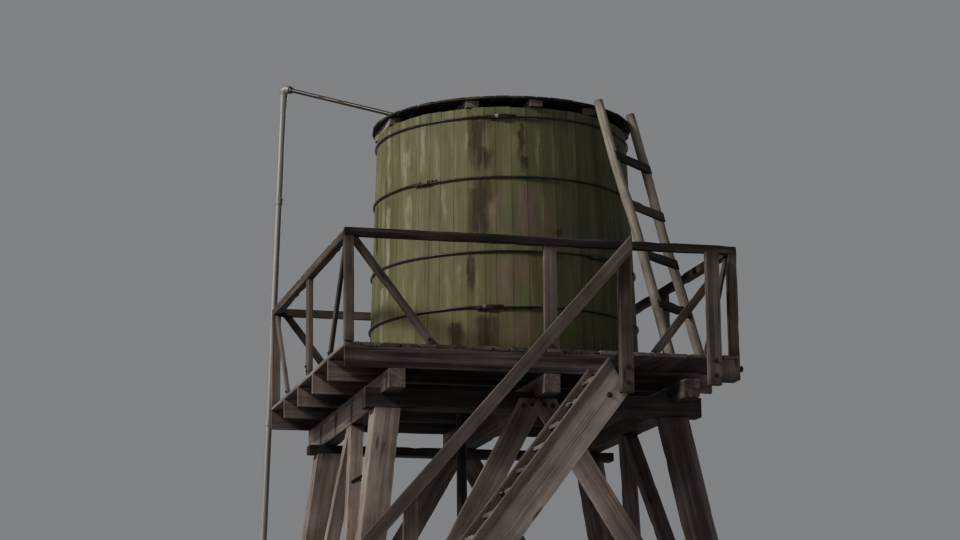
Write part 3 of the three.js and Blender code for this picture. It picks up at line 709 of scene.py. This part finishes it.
def stave_ring(first, last, inset, z):
    """A stave's outline at one height, between two angles less the seams."""
    outer = tank_radius(z - TANK_BASE) - inset
    inner = outer - STAVE_THICK + inset
    near, far = first + STAVE_SEAM / outer, last - STAVE_SEAM / outer
    corners = ((near, outer), (far, outer), (far, inner), (near, inner))
    return [on_tank(angle, radius, z) for angle, radius in corners]


def make_staves():
    """Staves of uneven width, not quite in line with each other."""
    wall_angle = 2 * math.pi / len(WALLS)
    for number, wall in enumerate(WALLS):
        piece = Piece(f"tank_staves_{number + 1}")
        shares = [dice.uniform(0.72, 1.28) for _ in range(STAVES // len(WALLS))]
        last = number * wall_angle
        for share in shares:
            first, last = last, last + wall_angle * share / sum(shares)
            inset = dice.uniform(0.001, 0.0028)
            top = TANK_TOP - dice.uniform(0, 0.01)
            rings = [stave_ring(first, last, inset, z) for z in (TANK_BASE, top)]
            add_board(piece, solid_between(*rings), along=UP, tone=dice.random(), bevel=0.0026, rough=0.001,
                      chips=0.003, step=0.12, place_of=stave_place)
        piece.build(PAINTED, "green_staves", wall)


def disc_outline(x0, x1, radius):
    """The part of a round disc between two lines, as an outline."""
    steps = 3
    xs = [x0 + (x1 - x0) * i / steps for i in range(steps + 1)]
    halves = [(x, math.sqrt(max(radius * radius - x * x, 1e-5))) for x in xs]
    return [(x, -y) for x, y in halves] + halves[::-1]


def make_disc(name, node, width, turn, tones):
    """A round floor or roof of straight boards, cut to the circle and turned."""
    low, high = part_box(node)
    radius = (high.x - low.x) / 2 * math.cos(math.pi / STAVES)
    count = math.ceil(2 * radius / width)
    width = 2 * radius / count
    spin = Matrix.Rotation(turn, 3, "Z")
    centre = Vector((TANK_AXIS.x, TANK_AXIS.y, 0))
    piece = Piece(name)
    for i in range(count):
        x0, x1 = -radius + i * width + DISC_GAP, -radius + (i + 1) * width - DISC_GAP
        top = high.z - dice.uniform(0, 0.005)
        outline = [spin @ Vector((x, y, 0)) + centre for x, y in disc_outline(x0, x1, radius)]
        board = solid_between([p + UP * low.z for p in outline], [p + UP * top for p in outline])
        along = spin @ Vector((0, 1, 0))
        add_board(piece, board, along=along, tone=dice.uniform(*tones), bevel=0.004, chips=0.006)
    piece.build(SHADED, "shaded_timber", node)


def lug_angle(node, z):
    """Direction of a hoop's lug from the tank's axis, by the solid's points above the rod."""
    points = [v.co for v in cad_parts[node].data.vertices]
    lug = [p for p in points if p.z > z + LUG["height"] / 2 - 0.001]
    middle = sum(lug, Vector()) / len(lug)
    return math.atan2(middle.y - TANK_AXIS.y, middle.x - TANK_AXIS.x)


def rod_path(lug, radius, z):
    """Around the tank. The rod's ends bend out, one up and one down, and pass in the lug."""
    overrun = LUG["length"] / 2 / radius + ROD["overrun"] / radius
    facet = 2 * math.pi / STAVES
    path = []
    steps = 240
    for i in range(steps + 1):
        share = i / steps
        angle = lug - overrun + (2 * math.pi + 2 * overrun) * share
        off_middle = (angle / facet) % 1.0 - 0.5
        flat = radius * math.cos(facet / 2) / math.cos(off_middle * facet)
        near_end = max(0.0, 1 - min(share, 1 - share) * 2 * math.pi / ROD["bent_angle"])
        lift = (1 if share > 0.5 else -1) * ROD["lift"] * near_end ** 0.5
        path.append(on_tank(angle, flat + ROD["out"] * near_end, z + lift))
    return path


def lug_body(middle, tangent, outward):
    """A cast block with sloping shoulders."""
    corners = ((-0.8, -1), (0.8, -1), (1, -0.2), (0.45, 1), (-0.45, 1), (-1, -0.2))
    drop = UP * LUG["height"] / 2
    lower = [
        middle + tangent * a * LUG["length"] / 2 + outward * b * LUG["depth"] / 2 - drop
        for a, b in corners
    ]
    return solid_between(lower, [p + UP * LUG["height"] for p in lower])


def make_hoops():
    """Round rods drawn up by nuts in a cast lug."""
    nut = [(0.017, 0.0), (0.018, 0.003), (0.018, 0.017), (0.016, 0.02)]
    for node, z in zip(HOOP_NODES, HOOP_CENTRES):
        lug = lug_angle(node, z)
        radius = tank_radius(z - TANK_BASE) + HOOP_RADIUS + 0.0006
        piece = Piece(f"{node}_rod")
        add_tube(piece, rod_path(lug, radius, z), HOOP_RADIUS, 10)
        tangent = Vector((-math.sin(lug), math.cos(lug), 0))
        outward = Vector((math.cos(lug), math.sin(lug), 0))
        middle = on_tank(lug, radius + LUG["depth"] / 2 - HOOP_RADIUS / 2, z)
        body = lug_body(middle, tangent, outward)
        add_board(piece, body, along=tangent, bevel=0.007, rough=0.001, chips=0.0, step=0.04)
        half_angle = LUG["length"] / 2 / radius
        for side in (1, -1):
            seat = on_tank(lug + side * half_angle * 1.04, radius + 0.011, z + side * ROD["lift"])
            add_turned(piece, seat, tangent * side, nut, 6)
        piece.build(IRON, "dark_iron", node)


# Sides of the railing: plane, middle post's place, ends with a brace, and corner posts by signs of X and Y
RAIL_SIDES = {
    "railing_front": ("xz", middle_of("girder_middle").x, (1,), [(-1, -1), (1, -1)]),
    "railing_back": ("xz", DECK_MIDDLE.x, (1, -1), []),
    "railing_left": ("yz", DECK_MIDDLE.y, (1, -1), [(-1, 1)]),
    "railing_right": ("yz", DECK_MIDDLE.y, (1, -1), [(1, 1)]),
}


class RailSide:
    """Where one side of the railing runs, and the axis that it runs along."""
    def __init__(self, name):
        self.plane, self.middle, self.braces, self.corners = RAIL_SIDES[name]
        self.along, self.off = (0, 1) if self.plane == "xz" else (1, 0)
        low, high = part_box(name)
        self.line = (low[self.off] + high[self.off]) / 2
        self.ends = {1: low[self.along], -1: high[self.along]}
        self.top = high.z

    def timber(self, outline, thick):
        return plate(outline, self.line - thick / 2, self.line + thick / 2, self.plane)


def add_rail_timbers(piece, side, rail_tone):
    """A top rail on its posts, with braces that run down from its ends."""
    start, end = side.ends[1], side.ends[-1]
    rail = [(start, RAIL_LOW), (end, RAIL_LOW), (end, side.top), (start, side.top)]
    add_board(piece, side.timber(rail, RAIL), tone=rail_tone, chips=0.012)
    post = sloping((side.middle, DECK_TOP), (side.middle, RAIL_LOW), MIDDLE_POST["width"])
    add_board(piece, side.timber(post, MIDDLE_POST["thick"]), along=UP, tone=dice.uniform(0.7, 1.0))
    width = RAIL_BRACE["width"]
    for sign in side.braces:
        foot = (side.ends[sign] + sign * (RAIL_BRACE["run"] + width), DECK_TOP)
        head = (side.ends[sign] + sign * width, RAIL_LOW)
        brace = side.timber(sloping(foot, head, width), RAIL_BRACE["thick"])
        add_board(piece, brace, tone=dice.uniform(0.5, 0.8))
    half = CORNER_POST / 2
    for sign_x, sign_y in side.corners:
        x = (DECK_HIGH.x if sign_x > 0 else DECK_LOW.x) - sign_x * half
        y = (DECK_HIGH.y if sign_y > 0 else DECK_LOW.y) - sign_y * half
        post = block((x - half, y - half, DECK_TOP), (x + half, y + half, RAIL_LOW))
        add_board(piece, post, along=UP, tone=dice.uniform(0.6, 0.85))


def add_rail_bolts(bolts, side):
    """Two bolts in the middle post's foot and one in each brace's, on the outer faces."""
    outward = Vector((0, 0, 0))
    outward[side.off] = 1 if side.line > DECK_MIDDLE[side.off] else -1
    post_bolts = ((-0.03, 0.06), (0.03, 0.12))
    spots = [(side.middle + aside, MIDDLE_POST["thick"], up) for aside, up in post_bolts]
    for sign in side.braces:
        foot = side.ends[sign] + sign * (RAIL_BRACE["run"] + RAIL_BRACE["width"] - 0.04)
        spots.append((foot, RAIL_BRACE["thick"], 0.05))
    for place, thick, up in spots:
        spot = Vector((0, 0, DECK_TOP + up))
        spot[side.along] = place
        spot[side.off] = side.line + outward[side.off] * thick / 2
        add_bolt(bolts, spot, outward, 0.014)


def make_railings():
    bolts = Piece("railing_bolts")
    for name in RAIL_SIDES:
        side = RailSide(name)
        piece = Piece(f"{name}_timbers")
        add_rail_timbers(piece, side, 0.1 if name == "railing_front" else 0.5)
        piece.build(BROWNED, "weathered_timber", name)
        add_rail_bolts(bolts, side)
    bolts.build(IRON, "dark_iron")


def add_treads(piece, low, high, top_x, top_z):
    """Chipped treads between the stringers, set in from their upper edge."""
    rise = (DECK_TOP - TREAD["top_drop"]) / TREAD["count"]
    for i in range(1, TREAD["count"] + 1):
        top = i * rise
        nose = top_x - (top_z - top - TREAD["inset"]) / STRINGER["slope"]
        tread = block(
            (nose, low.y + STRINGER["thick"], top - TREAD["thick"]),
            (nose + TREAD["depth"], high.y - STRINGER["thick"], top),
        )
        add_board(piece, tread, along=(0, 1, 0), tone=dice.uniform(0.0, 0.75), chips=0.055, step=0.03)


def make_stair():
    """Two stringers with treads between them. A dark band of painted shadow runs just below their upper
    edges.
    """
    low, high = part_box("stair")
    slope, thick = STRINGER["slope"], STRINGER["thick"]
    steepness = math.hypot(1, slope)
    top_z = DECK_TOP - STRINGER["top_drop"]
    drop = STRINGER["depth"] * steepness
    top_x = low.x + top_z / slope
    cut_z = top_z + (high.x - top_x) * slope - drop
    outline = [(low.x, 0.0), (low.x + drop / slope, 0.0), (high.x, cut_z), (top_x, top_z)]

    # Distance below the upper edge, where the band of painted shadow lies
    def below_edge(point):
        return ((top_z + (point.x - top_x) * slope - point.z) / steepness, 0.0, 0.0)

    piece = Piece("stair_timbers")
    for near_y, tone in ((low.y, 0.72), (high.y - thick, 0.35)):
        stringer = plate(outline, near_y, near_y + thick)
        add_board(piece, stringer, along=(1, 0, slope), tone=tone, bevel=0.007, chips=0.014, step=0.07,
                  place_of=below_edge)
    add_treads(piece, low, high, top_x, top_z)
    piece.build(TRODDEN, "weathered_timber", "stair")
    bolts = Piece("stair_bolts")
    for x, up in STRINGER_BOLTS:
        add_bolt(bolts, (x, low.y + 0.003, up), (0, -1, 0), 0.02)
    bolts.build(IRON, "dark_iron")


LADDER_FOOT = Vector((TANK_AXIS.x, TANK_AXIS.y, TANK_BASE))
LADDER_TURN = Matrix.Rotation(math.radians(LADDER["angle"]), 3, "Z")
LADDER_RUN = LADDER_LEAN["foot_out"] - LADDER_LEAN["rim_out"]


def ladder_out(up):
    """How far from the tank's axis the poles are at a height above the deck."""
    return LADDER_LEAN["rim_out"] + LADDER_RUN * (1 - up / LADDER_LEAN["rim_up"])


def add_pole(piece, side, top):
    """A crooked pole that tapers and has one knot."""
    path, radii = [], []
    steps = 46
    knot_up = 2.1 + 0.3 * side
    for i in range(steps + 1):
        up = top * i / steps
        sway = 0.009 * math.sin(up * 2.6 + side) + 0.005 * math.sin(up * 6.1 + 2 * side)
        free = math.sin(math.pi * min(up / LADDER_LEAN["rim_up"], 1.0))
        bend = 0.012 * math.sin(up * 2.1 + 1.3 * side) * free
        point = Vector((ladder_out(up) + bend, side * LADDER["half_width"] + sway, up))
        path.append(LADDER_FOOT + LADDER_TURN @ point)
        knot = 0.007 * math.exp(-((up - knot_up) / 0.04) ** 2)
        taper = 1.0 - 0.08 * up / top
        radii.append(LADDER["pole"] * taper + knot - 0.001)
    add_tube(piece, path, radii, 14, tone=0.8 if side < 0 else 0.6, lumps=0.1)


def add_rung(rungs, nails, up):
    """A flat board across the poles, a little askew, with two nails in each."""
    lean = Matrix.Rotation(-math.atan2(LADDER_RUN, LADDER_LEAN["rim_up"]), 3, "Y")
    skew = Matrix.Rotation(dice.uniform(-0.02, 0.02), 3, "X")
    span = LADDER["half_width"] + RUNG["overhang"]
    middle = Vector((ladder_out(up) + RUNG["stand_off"], 0, up))
    half = Vector((RUNG["thick"] / 2, span - dice.uniform(0, 0.02), RUNG["depth"] / 2))

    def spot(x, y, z):
        return LADDER_FOOT + LADDER_TURN @ (middle + lean @ skew @ Vector((x, y, z)))

    corners = ((-1, -1), (1, -1), (1, 1), (-1, 1))
    ends = [[spot(half.x * a, half.y * end, half.z * b) for a, b in corners] for end in (-1, 1)]
    add_board(rungs, solid_between(*ends), tone=dice.uniform(0.3, 0.7), chips=0.012, step=0.05)
    outward = LADDER_TURN @ lean @ Vector((1, 0, 0))
    for side in (-1, 1):
        for shift in (-0.02, 0.022):
            add_nail(nails, spot(half.x, side * LADDER["half_width"], shift), outward, 0.008)


def make_ladder():
    """Crooked poles and flat rungs, leaning on the roof's edge."""
    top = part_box("ladder")[1].z - TANK_BASE - 0.012
    piece, rungs, nails = Piece("ladder_poles"), Piece("ladder_rungs"), Piece("ladder_nails")
    for side in (-1, 1):
        add_pole(piece, side, top)
    for up in RUNG_HEIGHTS:
        add_rung(rungs, nails, up)
    piece.build(POLES, "weathered_timber", "ladder")
    rungs.build(SHADED, "weathered_timber")
    nails.build(IRON, "dark_iron")


def make_fill_pipe():
    """A standing pipe with collars, which swells at its elbow, and its arm to the roof."""
    low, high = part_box("fill_pipe")
    radius, lean, elbow = FILL_PIPE["radius"], FILL_PIPE["lean"], FILL_PIPE["elbow"]
    foot = Vector((low.x + radius + 0.0005, high.y - elbow, radius * lean + 0.001))
    head = Vector((foot.x + lean * (high.z - elbow), foot.y, high.z - elbow))
    heading, along = (head - foot).normalized(), (ARM_REST - head).normalized()
    bend_length, bend_steps, stem_steps = 0.085, 8, 40
    start, stop = head - heading * bend_length, head + along * bend_length
    stem = [foot + (start - foot) * i / stem_steps for i in range(stem_steps)]
    bend, swell = [], []
    for i in range(bend_steps + 1):
        t = i / bend_steps
        bend.append(start * (1 - t) ** 2 + head * 2 * t * (1 - t) + stop * t * t)
        swell.append(elbow * 0.94 if 2 <= i <= bend_steps - 2 else (radius + elbow) / 2)
    pipe = Piece("fill_pipe_and_fittings")
    add_tube(pipe, stem + bend, [radius - 0.001] * stem_steps + swell, 20)
    collar = [(radius, 0.0), (radius + 0.009, 0.006), (radius + 0.009, 0.084), (radius, 0.09)]
    for up in (0.02, 2.9, 5.8, 8.55):
        add_turned(pipe, foot + heading * up, heading, collar, 20)
    bead = [(radius, -0.016), (radius + 0.008, -0.012), (radius + 0.008, 0.012), (radius, 0.016)]
    for spot, way in ((start, heading), (stop, along)):
        add_turned(pipe, spot, way, bead, 20)
    pipe.build(PIPE, "grey_pipe", "fill_pipe")
    make_fill_arm(stop, along)


def make_fill_arm(first, along):
    """A thin pipe from the elbow to the roof, lifted where it would sink in."""
    last = ARM_REST + along * 0.16 + UP * 0.012
    lowest = ROOF_REST + ARM_RADIUS * 0.6
    steps = 30
    path = [first + (last - first) * i / steps for i in range(steps + 1)]
    path = [p + UP * max(0.0, lowest - p.z) * (i / steps) ** 2 for i, p in enumerate(path)]
    arm = Piece("fill_arm_pipe")
    add_tube(arm, path, ARM_RADIUS, 14)
    add_turned(arm, first, along, [(0.03, 0.0), (0.04, 0.004), (0.04, 0.05), (0.03, 0.054)], 6)
    arm.build(IRON, "dark_iron", "fill_arm")


def make_riser():
    """The pipe under the deck, with a flange at each joint."""
    low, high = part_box("riser_pipe")
    radius = (high.x - low.x) / 2
    base = (low + high) / 2
    base.z = 0.0
    steps = 30
    riser = Piece("riser_pipe_and_flanges")
    path = [base + UP * (high.z * i / steps) for i in range(steps + 1)]
    add_tube(riser, path, radius - 0.004, 24)
    rim = radius + 0.034
    flange = [(radius, 0.0), (rim, 0.002), (rim, 0.026), (radius, 0.028)]
    for up in (0.0, 1.9, 3.8, high.z - 0.03):
        add_turned(riser, base + UP * up, UP, flange, 28)
    riser.build(IRON, "dark_iron", "riser_pipe")


def add_brace_bolts(bolts, face, sign):
    """Two bolts in the head of each brace plank on the front or the back."""
    plank_low, plank_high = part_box(f"brace_{face}_left")
    inner = plank_high.y if sign < 0 else plank_low.y
    middle = middle_of(f"cap_{face}").x
    for side in (-1, 1):
        for shift in (0.07, 0.16):
            z = plank_high.z - 0.06 - shift * 0.15
            out = BRACE_PLANK + FRAME_BATTER * (plank_high.z - z)
            spot = (middle + side * shift, inner + sign * out, z)
            add_bolt(bolts, spot, (0, sign, -FRAME_BATTER), 0.017)


def add_joist_nails(bolts):
    """A nail over each girder, low on the front of each joist but the first."""
    for joist in JOISTS[1:]:
        low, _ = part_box(joist)
        for girder in ("left", "middle", "right"):
            x = middle_of(f"girder_{girder}").x + 0.02
            add_nail(bolts, (x, low.y, low.z + 0.03), (0, -1, 0), 0.008)


def make_frame_bolts():
    """Bolts in brace planks and posts, a knob on the corner block, and nails."""
    bolts = Piece("frame_bolts")
    for face, sign in (("front", -1), ("back", 1)):
        add_brace_bolts(bolts, face, sign)
    for node in ("stair_newel", "railing_outer_post"):
        low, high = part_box(node)
        for up in (0.1, 0.26):
            add_bolt(bolts, ((low.x + high.x) / 2, low.y + 0.002, low.z + up), (0, -1, 0), 0.018)
    low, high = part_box("deck_corner_block")
    knob = [(0.024, -0.004), (0.024, 0.02), (0.034, 0.024), (0.036, 0.036), (0.03, 0.048), (0.014, 0.052)]
    add_turned(bolts, (high.x, low.y + 0.07, (low.z + high.z) / 2 + 0.02), (1, 0, 0), knob, 16)
    add_joist_nails(bolts)
    bolts.build(IRON, "dark_iron")


def make_strap():
    """A short iron strap, nailed slantwise to the left side's front brace."""
    tree = BVHTree.FromBMesh(raw_solid("brace_left_right"))
    spot, normal, _, _ = tree.ray_cast(Vector((STRAP["x"], DECK_LOW.y, STRAP["up"])), Vector((0, 1, 0)))
    side = Vector((1, 0, 0))
    slant = math.radians(STRAP["slant"])
    along = side * math.cos(slant) + normal.cross(side) * math.sin(slant)
    across = normal.cross(along)

    def face(depth):
        return [
            spot + along * a * STRAP["length"] / 2 + across * b * STRAP["width"] / 2 + normal * depth
            for a, b in ((-1, -1), (1, -1), (1, 1), (-1, 1))
        ]

    piece = Piece("brace_strap")
    strap = solid_between(face(-0.004), face(STRAP["thick"]))
    add_board(piece, strap, along=along, bevel=0.002, rough=0.0005, chips=0.0, step=0.03)
    for share in (-0.36, 0.36):
        add_nail(piece, spot + along * share * STRAP["length"] + normal * STRAP["thick"], normal)
    piece.build(IRON, "dark_iron")


# The photograph's camera, from the middle of the deck's top and in radians
CAMERA = {"place": (-6.953, -25.915, -4.570), "yaw": 0.2576, "pitch": 0.2159, "roll": -0.0098}

# Round lights: the direction they stand in, distance, size, power and colour
LIGHTS = {
    "key": ((-0.82, -0.235, 0.54), 60, 11.0, 42000, (1.0, 0.95, 0.87)),
    "fill": ((0.5, -0.9, 0.35), 30, 14.0, 400, (0.88, 0.93, 1.0)),
    "back": ((0.26, 0.97, 0.5), 40, 16.0, 7000, (0.92, 0.95, 1.0)),
}
LIT_HEIGHT = 5.0


def make_camera():
    """Stands low in front and to the left, and looks up at the tank's side."""
    place = Vector((DECK_MIDDLE.x, DECK_MIDDLE.y, DECK_TOP)) + Vector(CAMERA["place"])
    yaw = Matrix.Rotation(-CAMERA["yaw"], 4, "Z")
    pitch = Matrix.Rotation(math.pi / 2 + CAMERA["pitch"], 4, "X")
    roll = Matrix.Rotation(CAMERA["roll"], 4, "Z")
    data = bpy.data.cameras.new("photo_view")
    data.sensor_width = 36
    data.lens = 90
    camera = new_object("photo_view", data)
    camera.matrix_world = Matrix.Translation(place) @ yaw @ pitch @ roll
    bpy.context.scene.camera = camera


def make_light(name, toward, distance, size, power, colour):
    data = bpy.data.lights.new(name, "AREA")
    data.shape = "DISK"
    data.size = size
    data.energy = power
    data.color = colour
    light = new_object(name, data)
    way = Vector(toward).normalized()
    light.location = Vector((DECK_MIDDLE.x, DECK_MIDDLE.y, LIT_HEIGHT)) + way * distance
    light.rotation_euler = (-way).to_track_quat("-Z", "Y").to_euler()


def make_room_light():
    world = bpy.data.worlds.new("studio")
    world.use_nodes = True
    background = world.node_tree.nodes["Background"]
    background.inputs["Color"].default_value = (0.80, 0.82, 0.86, 1)
    background.inputs["Strength"].default_value = 0.27
    bpy.context.scene.world = world


def make_floor():
    """A plain pale floor, faintly mottled."""
    g = Graph("studio_floor", specular=0.2)
    mottle = g.noise(g.node("TexCoord", {}, "Object"), 4.0, 0.6, 0.8)
    colour = g.blend(mottle, (0.44, 0.44, 0.44), (0.48, 0.48, 0.475))
    material = g.finish(colour, g.ease(mottle, 0.2, 0.8, 0.7, 0.8), g.bump(mottle, 0.002, 0.2))
    half, z = 200.0, -0.002
    corners = [(-half, -half, z), (half, -half, z), (half, half, z), (-half, half, z)]
    mesh = bpy.data.meshes.new("studio_floor")
    mesh.from_pydata(corners, [], [(0, 1, 2, 3)])
    mesh.materials.append(material)
    floor = new_object("studio_floor", mesh)


make_single_timbers()
make_deck()
make_staves()
make_disc("tank_floor_boards", "tank_floor", width=0.2, turn=0.3, tones=(0.3, 0.6))
make_disc("roof_boards", "roof", width=0.15, turn=0.0, tones=(0.2, 0.7))
make_hoops()
make_railings()
make_stair()
make_ladder()
make_fill_pipe()
make_riser()
make_frame_bolts()
make_strap()
make_camera()
for light_name, settings in LIGHTS.items():
    make_light(light_name, *settings)
make_room_light()
make_floor()
